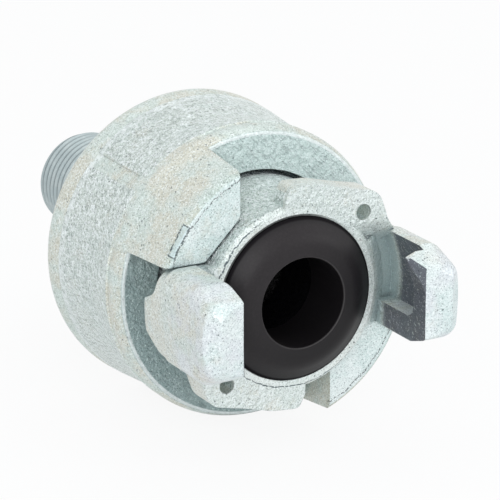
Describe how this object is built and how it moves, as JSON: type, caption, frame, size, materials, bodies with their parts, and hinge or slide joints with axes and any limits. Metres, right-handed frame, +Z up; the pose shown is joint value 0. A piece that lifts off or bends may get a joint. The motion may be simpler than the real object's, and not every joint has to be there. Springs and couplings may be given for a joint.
{
  "type": "claw hose coupling",
  "caption": "Claw hose coupling half in plated cast iron, with hooked claws, a rubber face seal, a sprung locking sleeve and a tapered pipe thread.",
  "frame": {"origin": "on the coupling's axis at the gauge plane of the pipe thread, where it is held", "axes": "+Y along the axis towards the threaded end, -Y towards the claws and the sealing face, +Z up, the claws on the -X and +X sides"},
  "size_m": [0.0612, 0.1082, 0.0612],
  "materials": {
    "zinc_iron": "rough cast and zinc plated, satin",
    "spring_steel": "satin",
    "seal_rubber": "matt"
  },
  "bodies": {
    "head": {"coupling_body": "zinc_iron", "sleeve_spring": "spring_steel", "spring_seat": "spring_steel", "retaining_ring": "spring_steel", "face_seal": "seal_rubber"},
    "sleeve": {"locking_sleeve": "zinc_iron"}
  },
  "joints": [
    {"name": "sleeve_slide", "type": "slide", "parent": "head", "child": "sleeve", "axis": [0, 1, 0], "range_m": [0, 0.009], "stiffness_N_per_m": 554, "springref_m": -0.006, "deforming": ["sleeve_spring"]}
  ]
}
